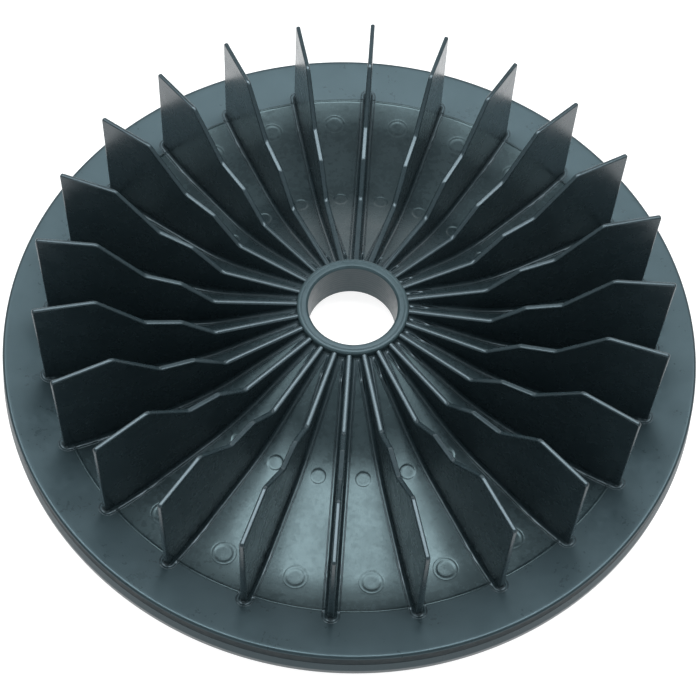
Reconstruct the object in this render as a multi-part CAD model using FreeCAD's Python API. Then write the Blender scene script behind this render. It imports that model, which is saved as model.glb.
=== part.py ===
"""Blower fan wheel: a dished disc with a bored hub, a turned-down rim and radial blades.

Millimetres. +Z runs up the bore axis towards the blades. The origin is on that axis, in the
plane that the rim stands on. The wheel is moulded in one shot; every moulded feature that has
a name of its own is written as a separate solid, and the solids meet face to face.
"""
import FreeCAD
import Part
import math
import os

# Hub: a plain sleeve round the bore.
BORE_R = 19.0
HUB_R = 23.8
HUB_BOTTOM_Z = 8.6
HUB_TOP_Z = 27.8
HUB_EDGE_ROUND = 1.3
BORE_CHAMFER = 0.9

# Disc: a cone round the hub, a floor that curves up to a crease, and a flange that rises to the rim.
CONE_TOP_Z = 24.1
FLOOR_Z = 5.8
CONE_FOOT_R = 66.7
FLOOR_END_R = 118.2
CREASE_R = 128.6
CREASE_Z = 8.7
WALL = 2.5
CONE_BLEND_R = 70.0
WALL_BLEND_R = 78.0
CREASE_ROUND = 1.6

# Rim: the turned-down outer edge, with a bead along its foot.
RIM_R = 150.0
SKIRT_R = 148.6
SKIRT_INNER_R = 146.0
LIP_Z = 14.0
LIP_ROUND = 1.3
BEAD_TOP_Z = 7.2
BEAD_MIDDLE_Z = 3.6
BEAD_ROUND = 1.6
FOOT_ROUND = 0.8

# Blades: flat and radial, with a stepped top edge given as (radius, height) from the hub out.
BLADES = 24
BLADE_TOP = [(HUB_R, 26.6), (58.8, 23.4), (71.9, 35.3), (86.6, 39.3), (104.3, 59.8), (129.2, 60.4)]
BLADE_STEP_ROUND = 3.0
BLADE_TIP_ROUND = 1.2
BLADE_FOOT_R = 131.8
BLADE_TOP_WIDTH = 1.9
BLADE_ROOT_WIDTH = 2.9
BLADE_EDGE_ROUND = 0.45
ROOT_FILLET_R = 1.9

# Ejector-pin marks between the blades: the radius they stand at and their own radius.
OUTER_PIN = (115.3, 4.5)
INNER_PIN = (71.0, 3.1)
PIN_DEPTH = 0.4

# Overlaps that make the blade's pieces join, and the fillets' feet meet the disc cleanly.
EMBED = 0.25
FILLET_SINK = 0.08

AXIS = FreeCAD.Vector(0, 0, 1)
CENTRE = FreeCAD.Vector(0, 0, 0)
PITCH = 360.0 / BLADES
CONE_ANGLE = math.atan2(CONE_TOP_Z - FLOOR_Z, CONE_FOOT_R - HUB_R)
DISC_ROUNDS = [CONE_BLEND_R, WALL_BLEND_R, CREASE_ROUND]


def point(radius, height, across=0.0):
    """A point in the radial plane through +X, moved sideways by across."""
    return FreeCAD.Vector(radius, across, height)


def rounded_path(corners, rounds):
    """Edges through the corners, with a tangent arc of the given radius at each inner one."""
    edges = []
    start = corners[0]
    for before, corner, after, radius in zip(corners, corners[1:], corners[2:], rounds):
        back = (before - corner).normalize()
        ahead = (after - corner).normalize()
        half = back.getAngle(ahead) / 2
        reach = radius / math.tan(half)
        middle = corner + (back + ahead).normalize() * (radius / math.sin(half) - radius)
        edges.append(Part.LineSegment(start, corner + back * reach).toShape())
        edges.append(Part.Arc(corner + back * reach, middle, corner + ahead * reach).toShape())
        start = corner + ahead * reach
    edges.append(Part.LineSegment(start, corners[-1]).toShape())
    return edges


def closed_face(edges, corners):
    """A face bounded by the edges and then by straight lines through the corners."""
    ends = Part.Wire(edges).OrderedVertexes
    closing = Part.makePolygon([ends[-1].Point, *corners, ends[0].Point]).Edges
    return Part.Face(Part.Wire([*edges, *closing]))


def lathe(face):
    """The solid that the face sweeps in a full turn round the bore axis."""
    return face.revolve(CENTRE, AXIS, 360)


def ring_of(shape, start):
    """A copy of the shape at every blade pitch, the first turned by start degrees."""
    copies = []
    for index in range(BLADES):
        turned = shape.copy()
        turned.rotate(CENTRE, AXIS, start - index * PITCH)
        copies.append(turned)
    return copies


def disc_corners(outer_r):
    """Corners of the disc's upper surface, from the hub to outer_r."""
    slope = (LIP_Z - CREASE_Z) / (SKIRT_R - CREASE_R)
    return [
        point(HUB_R, CONE_TOP_Z),
        point(CONE_FOOT_R, FLOOR_Z),
        point(FLOOR_END_R, FLOOR_Z),
        point(CREASE_R, CREASE_Z),
        point(outer_r, CREASE_Z + slope * (outer_r - CREASE_R)),
    ]


def lowered(corners):
    """The corners of the same line, moved down and square to itself by the wall thickness."""
    normals = []
    for start, end in zip(corners, corners[1:]):
        along = (end - start).normalize()
        normals.append(point(along.z, -along.x))
    moved = [corners[0] + AXIS * (WALL / normals[0].z)]
    for corner, before, after in zip(corners[1:], normals, normals[1:]):
        both = before + after
        moved.append(corner + both * (2 * WALL / both.dot(both)))
    moved.append(corners[-1] + AXIS * (WALL / normals[-1].z))
    return moved


def disc():
    """The disc from the hub to the rim, with its underside following its upper surface."""
    upper = disc_corners(SKIRT_INNER_R)
    lower = lowered(upper)
    under_rounds = [CONE_BLEND_R + WALL, WALL_BLEND_R + WALL, CREASE_ROUND]
    outline = [
        *rounded_path(upper, DISC_ROUNDS),
        Part.LineSegment(upper[-1], lower[-1]).toShape(),
        *reversed(rounded_path(lower, under_rounds)),
        Part.LineSegment(lower[0], upper[0]).toShape(),
    ]
    return lathe(Part.Face(Part.Wire(outline)))


def pin_marks(radius, mark_r):
    """Short cylinders square to the disc's surface, one in the middle of every gap."""
    blend_end = CONE_FOOT_R + CONE_BLEND_R * math.tan(CONE_ANGLE / 2)
    tilt = math.asin(max(0.0, blend_end - radius) / CONE_BLEND_R)
    surface = point(radius, FLOOR_Z + CONE_BLEND_R * (1 - math.cos(tilt)))
    normal = point(math.sin(tilt), math.cos(tilt))
    mark = Part.makeCylinder(mark_r, 2 * PIN_DEPTH, surface - normal * PIN_DEPTH, normal)
    return ring_of(mark, PITCH / 2)


def dish():
    """The disc inside the crease, with the ejector-pin marks in its upper surface."""
    inner = disc().common(Part.makeCylinder(CREASE_R, HUB_TOP_Z))
    return inner.cut([*pin_marks(*OUTER_PIN), *pin_marks(*INNER_PIN)])


def flange():
    """The disc outside the crease."""
    return disc().cut(Part.makeCylinder(CREASE_R, HUB_TOP_Z))


def hub():
    """The sleeve round the bore, with a rounded outer edge and a chamfered mouth."""
    mouth = point(BORE_R + BORE_CHAMFER, HUB_TOP_Z)
    outer = [point(HUB_R, HUB_BOTTOM_Z), point(HUB_R, HUB_TOP_Z), mouth]
    bore = [point(BORE_R, HUB_TOP_Z - BORE_CHAMFER), point(BORE_R, HUB_BOTTOM_Z)]
    return lathe(closed_face(rounded_path(outer, [HUB_EDGE_ROUND]), bore))


def rim():
    """The turned-down edge: a rounded lip, a plain skirt and a bead along its foot."""
    corners = [
        disc_corners(SKIRT_INNER_R)[-1],
        point(SKIRT_R, LIP_Z),
        point(SKIRT_R, BEAD_TOP_Z),
        point(RIM_R, BEAD_MIDDLE_Z),
        point(RIM_R, 0),
        point(SKIRT_INNER_R, 0),
    ]
    rounds = [LIP_ROUND, BEAD_ROUND, BEAD_ROUND, FOOT_ROUND]
    return lathe(closed_face(rounded_path(corners, rounds), []))


def draft_wedge():
    """A long wedge that gives a blade its width at the top and at the root."""
    peak = BLADE_TOP[-1][1]
    taper = (BLADE_ROOT_WIDTH - BLADE_TOP_WIDTH) / 2 / peak
    top = BLADE_TOP_WIDTH / 2
    low = top + taper * (peak + LIP_Z)
    corners = [point(0, -LIP_Z, -low), point(0, -LIP_Z, low), point(0, peak, top), point(0, peak, -top)]
    section = Part.Face(Part.makePolygon([*corners, corners[0]]))
    return section.extrude(point(RIM_R, 0))


def blade_plate():
    """The flat of a blade, stepped along its top and still running down through the disc."""
    top = [point(radius, height) for radius, height in BLADE_TOP]
    top[0] = top[0] - point(2 * EMBED, 0)
    outer_edge = point(BLADE_FOOT_R, CREASE_Z) - top[-1]
    heel = point(BLADE_FOOT_R, CREASE_Z) + outer_edge * (2 * CREASE_Z / -outer_edge.z)
    rounds = [BLADE_STEP_ROUND] * (len(top) - 2) + [BLADE_TIP_ROUND]
    side = closed_face(rounded_path([*top, heel], rounds), [point(top[0].x, heel.z)])
    side.translate(point(0, 0, -BLADE_ROOT_WIDTH))
    return side.extrude(point(0, 0, 2 * BLADE_ROOT_WIDTH)).common(draft_wedge())


def rounded_edges(plate):
    """The plate with the edges between its two faces and its top and outer edge rounded."""
    chosen = []
    for edge in plate.Edges:
        box = edge.BoundBox
        on_top = box.YLength < BLADE_TOP_WIDTH / 4 and box.ZMin > CREASE_Z
        on_outer_edge = box.XMin > BLADE_TOP[-1][0] - 1 and box.YLength < BLADE_TOP_WIDTH / 2
        if on_top or on_outer_edge:
            chosen.append(edge)
    return plate.makeFillet(BLADE_EDGE_ROUND, chosen)


def fillet_section(base, normal, side):
    """The hollow-cornered section of a root fillet, standing on base on one side of a blade."""
    inner = BLADE_TOP_WIDTH / 2
    corner = BLADE_ROOT_WIDTH / 2
    top = ROOT_FILLET_R + EMBED

    def place(across, height):
        return base + point(0, 0, side * across) + normal * (height - FILLET_SINK)

    path = rounded_path([place(corner, top), place(corner, 0), place(corner + top, 0)], [ROOT_FILLET_R])
    return closed_face(path, [place(corner + top, -EMBED), place(inner, -EMBED), place(inner, top)])


def root_fillets():
    """The fillets along both sides of a blade's root and round its outer end."""
    corners = disc_corners(BLADE_FOOT_R - BLADE_ROOT_WIDTH / 2)
    path = Part.Wire(rounded_path(corners, DISC_ROUNDS))
    cone_normal = point(math.sin(CONE_ANGLE), math.cos(CONE_ANGLE))
    runs = []
    for side in (-1, 1):
        section = fillet_section(corners[0], cone_normal, side)
        runs.append(path.makePipeShell([section.OuterWire], True, False))
    flange_line = (corners[-1] - corners[-2]).normalize()
    flange_normal = point(-flange_line.z, flange_line.x)
    section = fillet_section(corners[-1], flange_normal, -1)
    return [*runs, section.revolve(corners[-1], flange_normal, 180)]


def below_disc():
    """Everything under the disc's upper surface, used to trim the blades' roots."""
    top = rounded_path(disc_corners(SKIRT_R), DISC_ROUNDS)
    under = -2 * LIP_Z
    return lathe(closed_face(top, [point(SKIRT_R, under), point(0, under), point(0, CONE_TOP_Z)]))


def blade():
    """One blade along +X: the plate and its root fillets, trimmed to the disc and the hub."""
    shape = rounded_edges(blade_plate()).multiFuse(root_fillets())
    return shape.cut([below_disc(), Part.makeCylinder(HUB_R, HUB_TOP_Z)])


def write(name, shape):
    """Write one node's solid."""
    shape.exportStep(os.path.join("parts", name + ".step"))


def main():
    """Build every node; blade 1 points along +Y and the others follow clockwise from above."""
    os.makedirs("parts", exist_ok=True)
    write("hub", hub())
    write("dish", dish())
    write("flange", flange())
    write("rim", rim())
    for number, turned in enumerate(ring_of(blade(), 90), start=1):
        write("blade_%02d" % number, turned)


main()
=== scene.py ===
"""Looks of a blower fan wheel: one dark plastic moulding with a hub, a dish, a flange, a rim and blades.

The wheel is shot in one piece, so every class below is one moulded area of it. Meshes are shaped in
millimetres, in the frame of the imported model, and turned to metres when they become objects. The
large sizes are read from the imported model; the small ones are fields of the classes.
"""
import logging
import math
from collections.abc import Iterable, Sequence
from dataclasses import dataclass
from enum import Enum
from typing import Any

import bmesh
import bpy
from bmesh.types import BMEdge, BMFace, BMesh, BMVert
from mathutils import Matrix, Vector


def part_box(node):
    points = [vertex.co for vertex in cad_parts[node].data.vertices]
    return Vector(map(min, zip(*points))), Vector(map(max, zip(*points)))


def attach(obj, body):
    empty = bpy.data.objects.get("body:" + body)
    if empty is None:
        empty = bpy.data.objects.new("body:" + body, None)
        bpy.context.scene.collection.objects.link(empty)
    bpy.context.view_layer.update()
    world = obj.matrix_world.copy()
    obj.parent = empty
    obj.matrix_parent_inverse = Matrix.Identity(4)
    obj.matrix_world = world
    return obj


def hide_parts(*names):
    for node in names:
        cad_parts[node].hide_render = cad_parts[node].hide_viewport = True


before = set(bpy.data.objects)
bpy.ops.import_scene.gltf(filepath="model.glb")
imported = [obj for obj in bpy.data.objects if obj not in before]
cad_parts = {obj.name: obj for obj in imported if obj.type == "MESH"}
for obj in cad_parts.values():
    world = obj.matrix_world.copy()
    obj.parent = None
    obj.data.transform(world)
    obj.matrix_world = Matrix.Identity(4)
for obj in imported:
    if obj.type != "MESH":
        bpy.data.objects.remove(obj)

LOG = logging.getLogger("fan_wheel")
BODY = "root"
MM = 0.001
BLADES = 24
PITCH = math.tau / BLADES
COLUMNS = 16
STEPS = COLUMNS * BLADES
WALL = 2.5
MERGE = 0.005


def box_mm(node: str) -> tuple[Vector, Vector]:
    """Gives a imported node's box in millimetres.

    Args:
        node: The node's name.

    Returns:
        Its lowest and its highest corner.
    """
    low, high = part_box(node)
    return low / MM, high / MM


def evenly(start: float, end: float, count: int) -> list[float]:
    """Spaces values from start up to, but not including, end.

    Args:
        start: The first value.
        end: The value after the last one.
        count: How many values to give.

    Returns:
        The values in order.
    """
    return [start + (end - start) * step / count for step in range(count)]


def only(kind: type, geometry: Iterable[Any]) -> list[Any]:
    """Keeps the mesh elements of one kind, such as BMVert."""
    return [element for element in geometry if isinstance(element, kind)]


def outline(bm: BMesh, corners: Sequence[tuple[float, float]], closed: bool = True) -> list[BMVert]:
    """Draws an outline in the radial plane through +X.

    Args:
        bm: The mesh to draw in.
        corners: Radius and height of each corner.
        closed: Whether the outline is filled as one face or left as an open line.

    Returns:
        The corners' vertices, in order.
    """
    verts = [bm.verts.new((radius, 0, height)) for radius, height in corners]
    if closed:
        bm.faces.new(verts)
    else:
        for start, end in zip(verts, verts[1:]):
            bm.edges.new((start, end))
    return verts


def round_corner(bm: BMesh, corner: BMVert, radius: float, segments: int) -> None:
    """Rounds one corner of a flat outline.

    Args:
        bm: The outline's mesh.
        corner: The corner's vertex.
        radius: The arc's radius.
        segments: How many edges the arc has.
    """
    back, ahead = (edge.other_vert(corner).co - corner.co for edge in corner.link_edges)
    reach = radius / math.tan(back.angle(ahead) / 2)
    bmesh.ops.bevel(bm, geom=[corner], offset=reach, offset_type="OFFSET", segments=segments,
                    profile=0.5, affect="VERTICES", clamp_overlap=False, material=-1)


def spin_outline(bm: BMesh, steps: int) -> None:
    """Turns the mesh's outline once round the bore axis into a closed ring.

    Args:
        bm: The mesh, holding one filled outline.
        steps: How many steps the turn takes.
    """
    bmesh.ops.delete(bm, geom=bm.faces[:], context="FACES_ONLY")
    bmesh.ops.spin(bm, geom=[*bm.verts, *bm.edges], cent=(0, 0, 0), axis=(0, 0, 1),
                   angle=math.tau, steps=steps, use_merge=True)
    close_up(bm)


def close_up(bm: BMesh) -> None:
    """Merges doubles and turns every face outwards."""
    bmesh.ops.remove_doubles(bm, verts=bm.verts[:], dist=MERGE)
    bmesh.ops.recalc_face_normals(bm, faces=bm.faces[:])


def to_object(bm: BMesh, name: str, material: bpy.types.Material, nodes: Sequence[str]) -> bpy.types.Object:
    """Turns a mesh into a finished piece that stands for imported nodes.

    Args:
        bm: The mesh in millimetres; it is freed.
        name: The piece's name.
        material: Its finish.
        nodes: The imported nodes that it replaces.

    Returns:
        The piece, riding on the wheel's body.
    """
    bmesh.ops.scale(bm, vec=(MM, MM, MM), verts=bm.verts[:])
    for face in bm.faces:
        face.smooth = True
    mesh = bpy.data.meshes.new(name)
    bm.to_mesh(mesh)
    bm.free()
    mesh.set_sharp_from_angle(angle=math.radians(38))
    mesh.materials.append(material)
    piece = bpy.data.objects.new(name, mesh)
    bpy.context.scene.collection.objects.link(piece)
    weighted = piece.modifiers.new("even_shading", "WEIGHTED_NORMAL")
    weighted.weight = 80
    weighted.keep_sharp = True
    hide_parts(*nodes)
    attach(piece, BODY)
    LOG.info("%s: %d vertices, %d faces", name, len(mesh.vertices), len(mesh.polygons))
    return piece


# The disc's upper surface, which the dish, the flange, the rim and the blades' roots share.


@dataclass(frozen=True)
class Bend:
    """An arc that joins two straight stretches of a profile.

    Attributes:
        radius_at: Distance of the bend's corner from the bore axis.
        height_at: Height of the corner.
        before: Slope angle of the stretch inside the corner.
        after: Slope angle of the stretch outside it.
        round_mm: Radius of the arc.
    """

    radius_at: float
    height_at: float
    before: float
    after: float
    round_mm: float

    @property
    def reach(self) -> float:
        """Distance from the corner to where the arc starts."""
        return self.round_mm * math.tan(abs(self.after - self.before) / 2)

    @property
    def start(self) -> float:
        """Radius at which the arc starts."""
        return self.radius_at - self.reach * math.cos(self.before)

    @property
    def end(self) -> float:
        """Radius at which the arc ends."""
        return self.radius_at + self.reach * math.cos(self.after)

    def turned(self, radius: float) -> float:
        """Slope angle of the arc at a radius."""
        side = math.copysign(1, self.after - self.before)
        return math.asin(math.sin(self.before) + side * (radius - self.start) / self.round_mm)

    def height(self, radius: float) -> float:
        """Height of the arc at a radius."""
        side = math.copysign(1, self.after - self.before)
        base = self.height_at - self.reach * math.sin(self.before)
        return base + side * self.round_mm * (math.cos(self.before) - math.cos(self.turned(radius)))


@dataclass(frozen=True)
class DiscSurface:
    """The disc's upper surface: a cone, a floor that curves up to a crease, and a flange up to the lip.

    Attributes:
        hub: Radius of the hub.
        cone_top: Height at which the cone meets the hub.
        floor: Height of the floor.
        crease: Radius of the crease between the floor's rise and the flange.
        lip: Height that the flange would reach at the skirt.
        witness: Height of the fine line that the joint between two mould inserts leaves by the crease.
    """

    hub: float
    cone_top: float
    floor: float
    crease: float
    lip: float
    cone_foot: float = 66.7
    floor_end: float = 118.2
    crease_height: float = 8.7
    skirt: float = 148.6
    cone_round: float = 70.0
    wall_round: float = 78.0
    crease_round: float = 1.6
    hub_fillet: float = 1.0
    witness: float = 0.25
    witness_half: float = 0.55

    @property
    def bends(self) -> list[Bend]:
        """The cone's foot, the floor's rise and the crease."""
        cone = -math.atan2(self.cone_top - self.floor, self.cone_foot - self.hub)
        wall = math.atan2(self.crease_height - self.floor, self.crease - self.floor_end)
        flange = math.atan2(self.lip - self.crease_height, self.skirt - self.crease)
        return [
            Bend(self.cone_foot, self.floor, cone, 0, self.cone_round),
            Bend(self.floor_end, self.floor, 0, wall, self.wall_round),
            Bend(self.crease, self.crease_height, wall, flange, self.crease_round),
        ]

    def slope(self, radius: float) -> float:
        """Slope angle of the surface at a radius."""
        angle = self.bends[0].before
        for bend in self.bends:
            if radius >= bend.end:
                angle = bend.after
            elif radius > bend.start:
                angle = bend.turned(radius)
        return angle

    def height(self, radius: float) -> float:
        """Height of the surface at a radius."""
        first = self.bends[0]
        height = first.height_at + math.tan(first.before) * (radius - first.radius_at)
        for bend in self.bends:
            if radius >= bend.end:
                height = bend.height_at + math.tan(bend.after) * (radius - bend.radius_at)
            elif radius > bend.start:
                height = bend.height(radius)
        inside = max(0.0, self.hub + self.hub_fillet - radius)
        height += self.hub_fillet - math.sqrt(max(0.0, self.hub_fillet**2 - inside**2))
        aside = (radius - self.crease + self.witness_half) / self.witness_half
        return height + self.witness * max(0.0, 1 - aside**2)

    def below(self, radius: float, depth: float) -> tuple[float, float]:
        """The point a depth under the surface, measured square to it."""
        angle = self.slope(radius)
        return radius + depth * math.sin(angle), self.height(radius) - depth * math.cos(angle)


# Finishes.


def linear(code: str) -> tuple[float, float, float, float]:
    """Turns an sRGB colour into linear values.

    Args:
        code: The colour as six hex digits.

    Returns:
        Red, green, blue and an alpha of one.
    """
    parts = [int(code[place:place + 2], 16) / 255 for place in (0, 2, 4)]
    red, green, blue = (part / 12.92 if part <= 0.04045 else ((part + 0.055) / 1.055) ** 2.4 for part in parts)
    return red, green, blue, 1.0


def add_node(tree: bpy.types.NodeTree, kind: str, inputs: dict[str | int, Any] | None = None,
             **settings: Any) -> bpy.types.Node:
    """Adds one shader node.

    Args:
        tree: The node tree.
        kind: The node's type.
        inputs: A constant or an output to link, for each input named or numbered.
        **settings: The node's own properties.

    Returns:
        The node.
    """
    node = tree.nodes.new(kind)
    for name, value in settings.items():
        setattr(node, name, value)
    for key, value in (inputs or {}).items():
        if isinstance(value, bpy.types.NodeSocket):
            tree.links.new(value, node.inputs[key])
        else:
            node.inputs[key].default_value = value
    return node


class ToolMark(Enum):
    """How the steel behind a moulded area was finished, which the plastic copies."""

    TURNED = "fine rings round the bore"
    DRAWN = "streaks that run out from the hub"
    PITTED = "small pits and flow clouds"


@dataclass(frozen=True)
class MouldedPolypropylene:
    """Glass-filled polypropylene, black with a blue-green cast, injection-moulded.

    It is dark and half glossy: broad light shows as a soft blue-green sheen that the glass fibres
    break up into grey clouds, and every edge draws a thin pale line.

    Attributes:
        name: The material's name.
        mark: What the mould's steel left on it.
        dark: The resin's own colour.
        pale: The colour where fibres lie near the skin.
        sheen: The tint of what it mirrors.
        roughness: Mean roughness of the skin.
        spread: How far the roughness strays from its mean.
        shine: How much it mirrors, where a half is plain plastic.
        pits: How dull the small pits are, from no difference to black.
        bump_mm: Depth of the tool's marks.
    """

    name: str
    mark: ToolMark
    dark: str = "121b1e"
    pale: str = "202b2f"
    sheen: str = "d1e9f5"
    roughness: float = 0.27
    spread: float = 0.09
    shine: float = 0.5
    pits: float = 0.2
    bump_mm: float = 0.02
    cloud_mm: float = 14.0
    fibre_mm: float = 2.2
    ring_mm: float = 1.1
    streaks: float = 26.0

    def build(self) -> bpy.types.Material:
        """Makes the material.

        Returns:
            The material, which reads Object coordinates only.
        """
        material = bpy.data.materials.new(self.name)
        material.use_nodes = True
        tree = material.node_tree
        tree.nodes.clear()
        place = add_node(tree, "ShaderNodeTexCoord").outputs["Object"]
        clouds = self.noise(tree, place, self.cloud_mm, 4)
        fibres = self.noise(tree, place, self.fibre_mm, 3)
        colour = add_node(tree, "ShaderNodeMix", {"Factor": clouds, "A": linear(self.dark), "B": linear(self.pale)},
                          data_type="RGBA")
        both = add_node(tree, "ShaderNodeMath", {0: clouds, 1: fibres}, operation="ADD")
        rough = add_node(tree, "ShaderNodeMapRange", {
            "Value": both.outputs[0], "From Min": 0.7, "From Max": 1.3,
            "To Min": self.roughness - self.spread, "To Max": self.roughness + self.spread})
        shine = add_node(tree, "ShaderNodeMapRange", {
            "Value": fibres, "From Min": 0.3, "From Max": 0.42,
            "To Min": self.shine * (1 - self.pits), "To Max": self.shine})
        bump = add_node(tree, "ShaderNodeBump", {
            "Height": self.relief(tree, place), "Distance": self.bump_mm * MM, "Strength": 1.0})
        skin = add_node(tree, "ShaderNodeBsdfPrincipled", {
            "Base Color": colour.outputs["Result"], "Roughness": rough.outputs[0],
            "IOR": 1.5, "Specular IOR Level": shine.outputs[0], "Specular Tint": linear(self.sheen), "Normal": bump.outputs[0]})
        add_node(tree, "ShaderNodeOutputMaterial", {"Surface": skin.outputs[0]})
        return material

    def noise(self, tree: bpy.types.NodeTree, place: bpy.types.NodeSocket, size_mm: float,
              detail: float) -> bpy.types.NodeSocket:
        """Adds a noise pattern of a real size.

        Args:
            tree: The material's nodes.
            place: The coordinates.
            size_mm: Size of its largest spots.
            detail: Octaves of finer spots.

        Returns:
            The pattern's value.
        """
        return add_node(tree, "ShaderNodeTexNoise", {"Vector": place, "Scale": 1 / (size_mm * MM),
                                                     "Detail": detail, "Roughness": 0.6}).outputs[0]

    def relief(self, tree: bpy.types.NodeTree, place: bpy.types.NodeSocket) -> bpy.types.NodeSocket:
        """Adds the height pattern that the tool left.

        Args:
            tree: The material's nodes.
            place: The coordinates.

        Returns:
            The height.
        """
        if self.mark is ToolMark.TURNED:
            bands_per_metre = math.tau / 20 / (self.ring_mm * MM)
            return add_node(tree, "ShaderNodeTexWave", {
                "Vector": place, "Scale": bands_per_metre, "Distortion": 1.5, "Detail": 2.0},
                wave_type="RINGS", rings_direction="SPHERICAL").outputs["Fac"]
        if self.mark is ToolMark.DRAWN:
            level = add_node(tree, "ShaderNodeVectorMath", {0: place, 1: (1, 1, 0)}, operation="MULTIPLY")
            outward = add_node(tree, "ShaderNodeVectorMath", {0: level.outputs[0]}, operation="NORMALIZE")
            return add_node(tree, "ShaderNodeTexNoise", {
                "Vector": outward.outputs[0], "Scale": self.streaks, "Detail": 3.0}).outputs[0]
        return self.noise(tree, place, self.fibre_mm, 4)


# The moulded areas.


@dataclass
class Hub:
    """The sleeve round the bore.

    Attributes:
        finish: Its material.
        bore: Radius of the bore.
        edge_round: Rounding of the outer upper edge.
        chamfer: Width of the bevel at the bore's mouth.
        groove: Radius of the shallow turned groove in the top ring.
    """

    finish: bpy.types.Material
    bore: float = 19.0
    edge_round: float = 1.3
    chamfer: float = 0.9
    groove: float = 21.9
    groove_half: float = 0.3
    groove_depth: float = 0.16
    soft_edge: float = 0.3
    arc_segments: int = 6

    def build(self) -> bpy.types.Object:
        """Makes the hub."""
        low, high = box_mm("hub")
        bm = bmesh.new()
        corners = outline(bm, [
            (self.bore, low.z),
            (high.x, low.z),
            (high.x, high.z),
            (self.groove + self.groove_half, high.z),
            (self.groove, high.z - self.groove_depth),
            (self.groove - self.groove_half, high.z),
            (self.bore + self.chamfer, high.z),
            (self.bore, high.z - self.chamfer),
        ])
        soft = self.soft_edge
        rounds = [soft, soft, self.edge_round, soft / 2, soft / 2, soft / 2, soft, soft]
        for corner, radius in zip(corners, rounds):
            round_corner(bm, corner, radius, self.arc_segments)
        spin_outline(bm, STEPS)
        return to_object(bm, "hub_sleeve", self.finish, ["hub"])


@dataclass(frozen=True)
class EjectorMark:
    """The round print that an ejector pin leaves in the disc, in the middle of a gap.

    Attributes:
        at: Its distance from the bore axis.
        outer: Radius at which the print starts.
        window: Half the width of the patch of surface that it takes up.
        rings: Radius and depth of each further ring of the print, from the outside in.
    """

    at: float
    outer: float
    window: float
    rings: tuple[tuple[float, float], ...]
    columns: int = 8

    def rows(self) -> list[float]:
        """Radii of the surface's rows across the patch."""
        return evenly(self.at - self.window, self.at + self.window, self.columns)

    def press(self, bm: BMesh) -> None:
        """Puts the print into a flat sector of the disc that is centred on +X.

        Args:
            bm: The sector's mesh, level, before it is raised to the disc's surface.
        """
        half_turn = PITCH / COLUMNS * self.columns / 2
        patch = []
        for face in bm.faces:
            middle = face.calc_center_median()
            if abs(middle.xy.length - self.at) < self.window and abs(math.atan2(middle.y, middle.x)) < half_turn:
                patch.append(face)
        border = [edge for face in patch for edge in face.edges if sum(f in patch for f in edge.link_faces) == 1]
        bmesh.ops.delete(bm, geom=patch, context="FACES")
        circle = bmesh.ops.create_circle(bm, segments=4 * self.columns, radius=self.outer,
                                         matrix=Matrix.Translation((self.at, 0, 0)))
        ring = list({edge for vert in circle["verts"] for edge in vert.link_edges})
        bmesh.ops.bridge_loops(bm, edges=[*border, *ring])
        before = self.outer
        for radius, depth in self.rings:
            grown = bmesh.ops.extrude_edge_only(bm, edges=ring)["geom"]
            verts = only(BMVert, grown)
            fresh = set(verts)
            ring = [edge for edge in only(BMEdge, grown) if fresh.issuperset(edge.verts)]
            scale = radius / before
            bmesh.ops.scale(bm, vec=(scale, scale, 1), verts=verts, space=Matrix.Translation((-self.at, 0, 0)))
            for vert in verts:
                vert.co.z = -depth
            before = radius
        bmesh.ops.contextual_create(bm, geom=ring)


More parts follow.
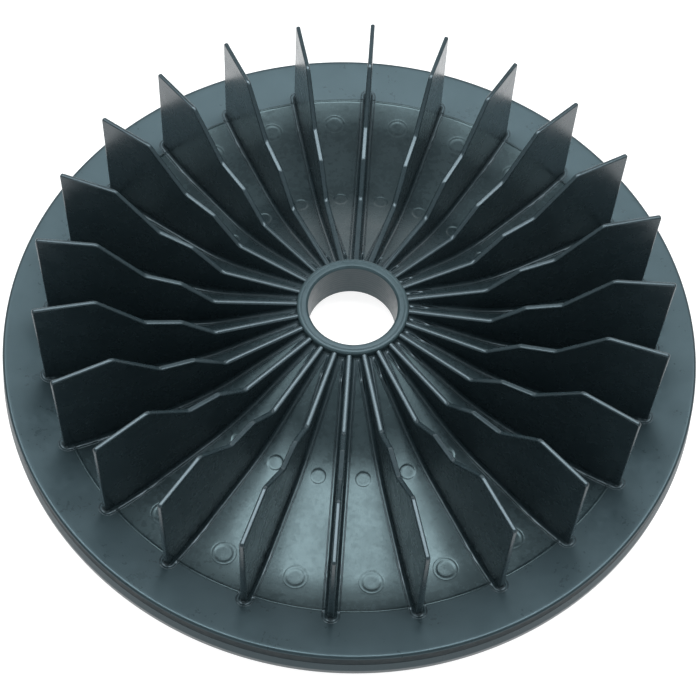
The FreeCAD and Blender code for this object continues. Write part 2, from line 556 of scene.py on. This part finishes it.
@dataclass
class Dish:
    """The cone, the floor and the low wall, with the ejector pins' prints.

    Attributes:
        finish: Its material.
        surface: The disc's upper surface.
        marks: The prints in one gap between blades.
    """

    finish: bpy.types.Material
    surface: DiscSurface
    marks: tuple[EjectorMark, ...] = (
        EjectorMark(at=71.0, outer=4.2, window=4.65, rings=(
            (3.5, 0.0), (3.25, 0.03), (3.0, 0.12), (2.75, 0.16), (2.0, 0.15))),
        EjectorMark(at=115.3, outer=6.8, window=7.5, rings=(
            (5.3, 0.0), (5.1, 0.04), (4.85, 0.08), (4.6, 0.04), (4.2, 0.03),
            (3.8, 0.06), (3.4, 0.13), (3.0, 0.16), (2.0, 0.15))),
    )

    def radii(self) -> list[float]:
        """Radii of the upper surface's rows, from the hub to the crease."""
        surface, (inner, outer) = self.surface, self.marks
        cone = surface.bends[0]
        fillet = [surface.hub + surface.hub_fillet * (1 - math.cos(turn)) for turn in evenly(0, math.pi / 2, 6)]
        return [
            *fillet,
            *evenly(surface.hub + surface.hub_fillet, cone.start, 8),
            *evenly(cone.start, inner.at - inner.window, 9),
            *inner.rows(),
            *evenly(inner.at + inner.window, cone.end, 4),
            *evenly(cone.end, outer.at - outer.window, 10),
            *outer.rows(),
            *evenly(outer.at + outer.window, surface.crease - 2 * surface.witness_half, 8),
            *evenly(surface.crease - 2 * surface.witness_half, surface.crease, 6),
            surface.crease,
        ]

    def build(self) -> bpy.types.Object:
        """Makes the dish."""
        bm = bmesh.new()
        radii = self.radii()
        outline(bm, [(radius, 0) for radius in radii], closed=False)
        bmesh.ops.rotate(bm, verts=bm.verts[:], cent=(0, 0, 0), matrix=Matrix.Rotation(-PITCH / 2, 3, "Z"))
        bmesh.ops.spin(bm, geom=[*bm.verts, *bm.edges], cent=(0, 0, 0), axis=(0, 0, 1),
                       angle=PITCH, steps=COLUMNS)
        bmesh.ops.remove_doubles(bm, verts=bm.verts[:], dist=MERGE)
        for mark in self.marks:
            mark.press(bm)
        for vert in bm.verts:
            vert.co.z += self.surface.height(vert.co.xy.length)
        bmesh.ops.rotate(bm, verts=bm.verts[:], cent=(0, 0, 0), matrix=Matrix.Rotation(PITCH / 2, 3, "Z"))
        bmesh.ops.spin(bm, geom=bm.faces[:], cent=(0, 0, 0), axis=(0, 0, 1), use_duplicate=True,
                       angle=math.tau - PITCH, steps=BLADES - 1)
        self.add_underside(bm, radii)
        close_up(bm)
        return to_object(bm, "dish_shell", self.finish, ["dish"])

    def add_underside(self, bm: BMesh, radii: Sequence[float]) -> None:
        """Adds the surface under the dish and the two edges that close it.

        Args:
            bm: The dish's mesh, holding the upper surface.
            radii: Radii of the upper surface's rows.
        """
        surface = self.surface
        inner, outer = radii[0], radii[-1]
        line = [surface.below(radius, WALL) for radius in radii[8:-1:2]]
        line = [point for point in line if inner < point[0] < outer]
        top_in, top_out = surface.height(inner), surface.height(outer)
        low_in = surface.height(inner) - surface.hub_fillet - WALL / math.cos(surface.slope(inner))
        low_out = surface.height(outer) - WALL / math.cos(surface.slope(outer))
        under = bmesh.new()
        outline(under, [(inner, top_in), (inner, low_in), *line, (outer, low_out), (outer, top_out)], closed=False)
        bmesh.ops.spin(under, geom=[*under.verts, *under.edges], cent=(0, 0, 0), axis=(0, 0, 1),
                       angle=math.tau, steps=STEPS, use_merge=True)
        joined = bpy.data.meshes.new("underside")
        under.to_mesh(joined)
        under.free()
        bm.from_mesh(joined)
        bpy.data.meshes.remove(joined)


@dataclass
class Flange:
    """The ring that rises from the crease to the rim.

    Attributes:
        finish: Its material.
        surface: The disc's upper surface.
    """

    finish: bpy.types.Material
    surface: DiscSurface

    def build(self) -> bpy.types.Object:
        """Makes the flange."""
        _, high = box_mm("flange")
        surface = self.surface
        crease = surface.bends[-1]
        radii = [*evenly(surface.crease, crease.end, 4), *evenly(crease.end, high.x, 8), high.x]
        top = [(radius, surface.height(radius)) for radius in radii]
        drop = WALL / math.cos(crease.after)
        bottom = [(radius, height - drop) for radius, height in (top[-1], top[4], top[0])]
        bm = bmesh.new()
        outline(bm, [*top, *bottom])
        spin_outline(bm, STEPS)
        return to_object(bm, "flange_ring", self.finish, ["flange"])


@dataclass
class Rim:
    """The turned-down edge: a rounded lip, a plain skirt and a bead along the foot.

    Attributes:
        finish: Its material.
        painted_skirt_shade: Painted shade: a copy of the finish, nearly without gloss, on the skirt between the lip
        and the bead, so the skirt shows as a dark band instead of mirroring the bright table.
        surface: The disc's upper surface.
        bead_top: Height at which the bead starts to swell.
        bead_middle: Height at which it is full.
    """

    finish: bpy.types.Material
    painted_skirt_shade: bpy.types.Material
    surface: DiscSurface
    bead_top: float = 7.2
    bead_middle: float = 3.6
    lip_round: float = 1.3
    bead_round: float = 1.6
    foot_round: float = 0.8
    soft_edge: float = 0.4
    arc_segments: int = 6

    def build(self) -> bpy.types.Object:
        """Makes the rim."""
        low, high = box_mm("rim")
        inner = box_mm("flange")[1].x
        bm = bmesh.new()
        corners = outline(bm, [
            (inner, self.surface.height(inner)),
            (self.surface.skirt, self.surface.lip),
            (self.surface.skirt, self.bead_top),
            (high.x, self.bead_middle),
            (high.x, low.z),
            (inner, low.z),
        ])
        rounds = [self.lip_round, self.bead_round, self.bead_round, self.foot_round, self.soft_edge]
        for corner, radius in zip(corners[1:], rounds):
            round_corner(bm, corner, radius, self.arc_segments)
        spin_outline(bm, STEPS)
        # Painted shade: the skirt's upright faces above the bead take the second material, nearly without gloss, so
        # they show dark.
        for face in bm.faces:
            face.material_index = int(abs(face.normal.z) < 0.3 and face.calc_center_median().z > self.bead_middle + 1)
        piece = to_object(bm, "rim_skirt", self.finish, ["rim"])
        piece.data.materials.append(self.painted_skirt_shade)
        return piece


@dataclass
class Blade:
    """A flat radial blade with a stepped top edge, draft on its sides and a fillet round its root.

    Attributes:
        finish: Its material.
        surface: The disc's upper surface, on which it stands.
        steps: Radius and height of the corners of the top edge, between the hub and the tip.
        crown: How much narrower the top's flat is near the hub.
        toe_bead: Corners of the fine line along the fillet's toe, counted from the toe.
    """

    finish: bpy.types.Material
    surface: DiscSurface
    steps: tuple[tuple[float, float], ...] = (
        (58.8, 23.4), (71.9, 35.3), (86.6, 39.3), (104.3, 59.8), (129.2, 60.4))
    inner_height: float = 26.6
    foot: float = 131.8
    top_width: float = 1.9
    root_width: float = 2.9
    step_round: float = 3.0
    tip_round: float = 1.2
    edge_round: float = 0.68
    fillet: float = 1.6
    sunk: float = 1.0
    crown: float = 0.7
    arc_segments: int = 6
    toe_bead: tuple[tuple[float, float], ...] = ((0.1, 0.13), (0.25, 0.21), (0.45, 0.21), (0.6, 0.13), (0.7, 0.0))

    @property
    def peak(self) -> float:
        """Height of the tip."""
        return self.steps[-1][1]

    def half_width(self, height: float) -> float:
        """Half the blade's width at a height, narrowing upwards by the mould's draft."""
        share = (self.peak - height) / self.peak
        return (self.top_width + (self.root_width - self.top_width) * share) / 2

    def build(self) -> bpy.types.Object:
        """Makes one blade along +X.

        Returns:
            The mesh of the blade, in millimetres.
        """
        bm = bmesh.new()
        self.add_plate(bm)
        self.add_fillet(bm)
        bmesh.ops.recalc_face_normals(bm, faces=bm.faces[:])
        return bm

    def add_plate(self, bm: BMesh) -> None:
        """Adds the blade's flat, with its upper and outer edges rounded."""
        surface = self.surface
        inner = surface.hub - 0.4
        cone, wall, _ = surface.bends
        top = [(inner, self.inner_height), *self.steps]
        bottom = [
            (self.foot, surface.height(self.foot) - self.sunk),
            (wall.radius_at, wall.height_at - self.sunk),
            (cone.radius_at, cone.height_at - self.sunk),
            (inner, surface.cone_top - self.sunk),
        ]
        corners = outline(bm, [*top, *bottom])
        round_corner(bm, corners[len(top) + 2], surface.cone_round, 16)
        for corner in corners[1:len(top) - 1]:
            round_corner(bm, corner, self.step_round, self.arc_segments)
        round_corner(bm, corners[len(top) - 1], self.tip_round, self.arc_segments)
        grown = bmesh.ops.extrude_face_region(bm, geom=bm.faces[:])["geom"]
        bmesh.ops.translate(bm, vec=(0, 1, 0), verts=only(BMVert, grown))
        for vert in bm.verts:
            side = 1 if vert.co.y > 0.5 else -1
            vert.co.y = side * self.half_width(vert.co.z)
        bmesh.ops.bevel(bm, geom=self.free_edges(bm), offset=self.edge_round, offset_type="OFFSET",
                        segments=4, profile=0.5, affect="EDGES", clamp_overlap=True, material=-1)
        narrow, full = self.steps[0][0], self.steps[1][0]
        for vert in bm.verts:
            near_hub = min(1.0, max(0.0, (full - vert.co.x) / (full - narrow)))
            inwards = 1 - abs(vert.co.y) / self.half_width(vert.co.z)
            vert.co.y *= 1 - self.crown * near_hub * min(1.0, max(0.0, 2 * inwards))

    def free_edges(self, bm: BMesh) -> list[BMEdge]:
        """The edges between the blade's sides and its top and outer edge."""
        chosen = []
        for edge in bm.edges:
            start, end = (vert.co for vert in edge.verts)
            along_side = start.y * end.y > 0
            middle = (start + end) / 2
            above = middle.z > self.surface.height(middle.x) + self.sunk / 2
            if along_side and above and middle.x > self.surface.hub - 0.3:
                chosen.append(edge)
        return chosen

    def add_fillet(self, bm: BMesh) -> None:
        """Sweeps the root fillet out along one side, round the outer end and back along the other."""
        places = self.fillet_places()
        radius, sunk = self.fillet, self.sunk / 2
        corners = [(radius - radius * math.cos(turn), radius - radius * math.sin(turn))
                   for turn in (*evenly(0, math.pi / 2, self.arc_segments), math.pi / 2)]
        corners += [(radius + across, up) for across, up in self.toe_bead]
        corners += [(radius + self.toe_bead[-1][0], -sunk), (-sunk, -sunk), (-sunk, radius)]
        verts = [bm.verts.new(places[0] @ Vector((across, 0, up))) for across, up in corners]
        face = bm.faces.new(verts)
        for before, after in zip(places, places[1:]):
            grown = bmesh.ops.extrude_face_region(bm, geom=[face])["geom"]
            face = only(BMFace, grown)[0]
            bmesh.ops.transform(bm, matrix=after @ before.inverted(), verts=list(face.verts))

    def fillet_places(self) -> list[Matrix]:
        """Places of the fillet's section round the blade's root.

        Returns:
            One matrix for each place: X points away from the blade and Z away from the disc.
        """
        surface = self.surface
        turn_at = self.foot - self.root_width / 2
        radii = [*evenly(surface.hub - 0.2, 53, 6), *evenly(53, 82, 16), *evenly(82, 119, 6), *evenly(119, turn_at, 10)]
        out = [self.place(radius, -math.pi / 2) for radius in radii]
        end = [self.place(turn_at, -math.pi / 2 + turn) for turn in (*evenly(0, math.pi, 16), math.pi)]
        back = [self.place(radius, math.pi / 2) for radius in reversed(radii)]
        return [*out, *end, *back]

    def place(self, radius: float, facing: float) -> Matrix:
        """Place of the fillet's section.

        Args:
            radius: Distance from the bore axis of the point that the section turns about.
            facing: Angle from the blade's outward direction to where the section faces.

        Returns:
            The matrix of the place.
        """
        height = self.surface.height(max(radius, self.surface.hub + self.surface.hub_fillet))
        height += max(0.0, self.surface.hub + self.surface.hub_fillet - radius) * math.tan(-self.surface.slope(0))
        tilt = Matrix.Rotation(-self.surface.slope(radius), 4, "Y")
        half = self.half_width(height + self.fillet)
        return Matrix.Translation((radius, 0, height)) @ tilt @ Matrix.Rotation(facing, 4, "Z") @ \
            Matrix.Translation((half, 0, -0.06))


@dataclass
class BladeRing:
    """All the blades: blade 1 points along +Y and the others follow clockwise from above."""

    blade: Blade

    def build(self) -> list[bpy.types.Object]:
        """Makes every blade as a piece of its own.

        Returns:
            The pieces in order.
        """
        first = self.blade.build()
        pieces = []
        for number in range(1, BLADES + 1):
            bm = first.copy()
            turn = math.pi / 2 - (number - 1) * PITCH
            bmesh.ops.rotate(bm, verts=bm.verts[:], cent=(0, 0, 0), matrix=Matrix.Rotation(turn, 3, "Z"))
            node = f"blade_{number:02d}"
            pieces.append(to_object(bm, f"vane_{number:02d}", self.blade.finish, [node]))
        first.free()
        return pieces


# The studio.


@dataclass(frozen=True)
class Panel:
    """A soft light panel.

    Attributes:
        name: Its name.
        at: Where its middle is, in metres.
        size: Its width and its length in metres.
        power: Its power in watts.
        aim: The point that it faces; straight down without one.
    """

    name: str
    at: tuple[float, float, float]
    size: tuple[float, float]
    power: float
    aim: tuple[float, float, float] | None = None
    colour: str = "ffffff"

    def build(self) -> None:
        """Hangs the panel."""
        lamp = bpy.data.lights.new(self.name, "AREA")
        lamp.shape = "RECTANGLE"
        lamp.size, lamp.size_y = self.size
        lamp.energy = self.power
        lamp.color = linear(self.colour)[:3]
        hung = bpy.data.objects.new(self.name, lamp)
        hung.location = self.at
        if self.aim:
            hung.rotation_euler = (Vector(self.aim) - Vector(self.at)).to_track_quat("-Z", "Y").to_euler()
        bpy.context.scene.collection.objects.link(hung)


@dataclass
class Studio:
    """A pale shooting table, soft light and the camera."""

    table_size: float = 6.0
    table_colour: str = "8c8e8f"
    table_glow: float = 0.88
    room_colour: str = "ffffff"
    room_light: float = 0.62
    panels: tuple[Panel, ...] = (
        Panel("overhead_middle", (0.0, 0.03, 0.5), (0.3, 0.14), 1.3),
        Panel("overhead_rear", (0.0, 0.14, 0.5), (0.3, 0.08), 1.15),
        Panel("overhead_back", (0.0, 0.26, 0.5), (0.3, 0.16), 0.34),
        Panel("overhead_left", (-0.275, 0.1, 0.5), (0.25, 0.4), 2.0),
        Panel("overhead_right", (0.275, 0.1, 0.5), (0.25, 0.4), 2.0),
        Panel("rear_wall", (0.0, 1.3, 0.4), (2.4, 0.75), 5.9, (0.0, 0.0, 0.02)),
        Panel("front_wall", (0.0, -1.3, 0.4), (2.4, 0.75), 2.9, (0.0, 0.0, 0.02)),
    )
    distance: float = 0.58285
    elevation: float = 59.747
    turn: float = 0.338
    roll: float = 3.724
    target: tuple[float, float, float] = (0.0, -0.01403, 0.014)
    lens: float = 70.43

    def build(self) -> None:
        """Sets up the table, the light and the camera."""
        self.add_table()
        self.add_room_light()
        for panel in self.panels:
            panel.build()
        self.add_camera()
        bpy.context.scene.view_settings.view_transform = "Standard"

    def add_table(self) -> None:
        """Lays the pale table, an opal sheet lit from below, under the wheel."""
        material = bpy.data.materials.new("opal_acrylic_table")
        material.use_nodes = True
        tree = material.node_tree
        tree.nodes.clear()
        sheet = add_node(tree, "ShaderNodeBsdfPrincipled", {
            "Base Color": linear(self.table_colour), "Roughness": 0.7,
            "Emission Color": linear("ffffff"), "Emission Strength": self.table_glow})
        add_node(tree, "ShaderNodeOutputMaterial", {"Surface": sheet.outputs[0]})
        bm = bmesh.new()
        bmesh.ops.create_grid(bm, x_segments=1, y_segments=1, size=self.table_size / 2)
        mesh = bpy.data.meshes.new("table")
        bm.to_mesh(mesh)
        bm.free()
        mesh.materials.append(material)
        table = bpy.data.objects.new("table", mesh)
        bpy.context.scene.collection.objects.link(table)

    def add_room_light(self) -> None:
        """Fills the room with even light."""
        world = bpy.data.worlds.new("room")
        world.use_nodes = True
        tree = world.node_tree
        tree.nodes.clear()
        light = add_node(tree, "ShaderNodeBackground", {"Color": linear(self.room_colour), "Strength": self.room_light})
        add_node(tree, "ShaderNodeOutputWorld", {"Surface": light.outputs[0]})
        bpy.context.scene.world = world

    def add_camera(self) -> None:
        """Points the camera at the wheel from above its front."""
        lens = bpy.data.cameras.new("camera")
        lens.lens = self.lens
        lens.sensor_width = 36.0
        lens.dof.use_dof = False
        camera = bpy.data.objects.new("camera", lens)
        elevation = math.radians(self.elevation)
        pose = (Matrix.Rotation(math.radians(self.turn), 4, "Z")
                @ Matrix.Translation(self.target)
                @ Matrix.Rotation(math.pi / 2 - elevation, 4, "X")
                @ Matrix.Rotation(math.radians(self.roll), 4, "Z")
                @ Matrix.Translation((0, 0, self.distance)))
        camera.matrix_world = pose
        bpy.context.scene.collection.objects.link(camera)
        bpy.context.scene.camera = camera


def main() -> None:
    """Builds the wheel's areas in order, then the studio."""
    logging.basicConfig(level=logging.INFO, format="%(name)s %(message)s")
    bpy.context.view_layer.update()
    blade_low, _ = box_mm("blade_01")
    _, hub_high = box_mm("hub")
    _, dish_high = box_mm("dish")
    surface = DiscSurface(hub=hub_high.x, cone_top=dish_high.z, floor=blade_low.z, crease=dish_high.x, lip=14.0)
    turned = MouldedPolypropylene("turned_moulded_polypropylene", ToolMark.TURNED, dark="1a2629", pale="2a393d",
                                  roughness=0.36, shine=0.38).build()
    drawn = MouldedPolypropylene("drawn_moulded_polypropylene", ToolMark.DRAWN, sheen="c4e7f4", pits=0.0,
                                 roughness=0.31, spread=0.05).build()
    # Painted shade for the rim's skirt: nearly without gloss, so the band under the lip shows dark instead of mirroring
    # the bright table.
    painted_skirt_shade = MouldedPolypropylene("painted_skirt_shade_polypropylene", ToolMark.DRAWN, roughness=0.5, shine=0.05).build()
    pitted = MouldedPolypropylene("pitted_moulded_polypropylene", ToolMark.PITTED, sheen="c8eaf2", spread=0.07, pits=0.3).build()
    plain = MouldedPolypropylene("plain_moulded_polypropylene", ToolMark.PITTED, spread=0.03, pits=0.0,
                                 bump_mm=0.002, fibre_mm=7.0).build()
    Hub(turned).build()
    Dish(pitted, surface).build()
    Flange(drawn, surface).build()
    Rim(drawn, painted_skirt_shade, surface).build()
    BladeRing(Blade(plain, surface)).build()
    Studio().build()


if __name__ == "__main__":
    main()
